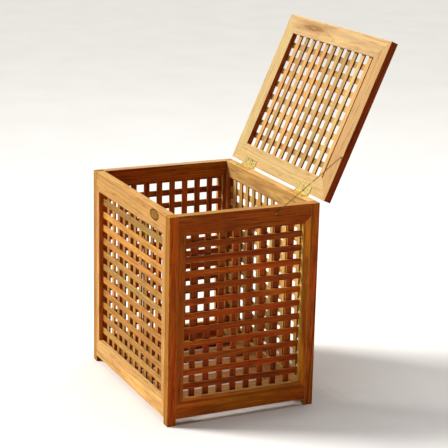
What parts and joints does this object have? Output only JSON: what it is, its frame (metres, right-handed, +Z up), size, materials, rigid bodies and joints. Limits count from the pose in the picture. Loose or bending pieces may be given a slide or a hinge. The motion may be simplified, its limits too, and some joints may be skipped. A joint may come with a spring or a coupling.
{
  "type": "laundry hamper with lid",
  "caption": "Wooden lattice laundry hamper on post feet, with a framed lattice lid hinged at the rear and held open by a side chain.",
  "frame": {"origin": "on the floor, at the middle of the bounding box of the hamper as it stands with its lid open", "axes": "+X to the right seen from the front, +Y to the back, +Z up; the lid hinges along X at the rear"},
  "size_m": [0.594, 0.6772, 1.0423],
  "materials": {
    "teak": "oiled teak, satin",
    "beech": "plain",
    "brass": "bright",
    "dull_brass": "dull",
    "bronze": "dark, matt"
  },
  "bodies": {
    "box": {"front_left_post": "teak", "front_right_post": "teak", "rear_left_post": "teak", "rear_right_post": "teak", "front_top_rail": "teak", "front_bottom_rail": "teak", "front_left_stile": "teak", "front_right_stile": "teak", "front_level_slats": "teak", "front_upright_slats": "teak", "right_top_rail": "teak", "right_bottom_rail": "teak", "right_left_stile": "teak", "right_right_stile": "teak", "right_level_slats": "teak", "right_upright_slats": "teak", "rear_top_rail": "teak", "rear_bottom_rail": "teak", "rear_left_stile": "teak", "rear_right_stile": "teak", "rear_level_slats": "teak", "rear_upright_slats": "teak", "left_top_rail": "teak", "left_bottom_rail": "teak", "left_left_stile": "teak", "left_right_stile": "teak", "left_level_slats": "teak", "left_upright_slats": "teak", "floor_slats": "teak", "front_bearer": "teak", "rear_bearer": "teak", "frame_dowels": "beech", "oval_plate": "bronze", "left_hinge_box_leaf": "brass", "left_hinge_pin": "brass", "right_hinge_box_leaf": "brass", "right_hinge_pin": "brass", "hinge_screws_box": "brass", "chain_side_screw": "dull_brass"},
    "lid": {"lid_hinge_rail": "teak", "lid_free_rail": "teak", "lid_left_stile": "teak", "lid_right_stile": "teak", "lid_cross_slats": "teak", "lid_long_slats": "teak", "lid_corner_dowels": "beech", "left_hinge_lid_leaf": "brass", "right_hinge_lid_leaf": "brass", "hinge_screws_lid": "brass", "chain_lid_eye": "dull_brass"},
    "chain_lower": {"chain_lower_run": "dull_brass"},
    "chain_middle": {"chain_middle_run": "dull_brass"},
    "chain_upper": {"chain_upper_run": "dull_brass"}
  },
  "joints": [
    {"name": "lid_hinge", "type": "hinge", "parent": "box", "child": "lid", "pos_m": [0, 0.12082, 0.6025], "axis": [1, 0, 0], "range_deg": [0, 113.9]},
    {"name": "chain_at_side_screw", "type": "hinge", "parent": "box", "child": "chain_lower", "pos_m": [0.2924, -0.02238, 0.582], "axis": [1, 0, 0], "range_deg": [-62.2, 0]},
    {"name": "chain_fold", "type": "hinge", "parent": "chain_lower", "child": "chain_middle", "pos_m": [0.2924, 0.05904, 0.64105], "axis": [1, 0, 0], "range_deg": [0, 70.7]},
    {"name": "chain_at_lid_eye", "type": "hinge", "parent": "lid", "child": "chain_upper", "pos_m": [0.2924, 0.1751, 0.72523], "axis": [1, 0, 0], "range_deg": [0, 12.5]}
  ],
  "couplings": [
    {"joint": "chain_at_side_screw", "follows": "lid_hinge", "ratio": -0.5285},
    {"joint": "chain_fold", "follows": "lid_hinge", "ratio": 0.6031},
    {"joint": "chain_at_lid_eye", "follows": "lid_hinge", "ratio": 0.0918}
  ]
}
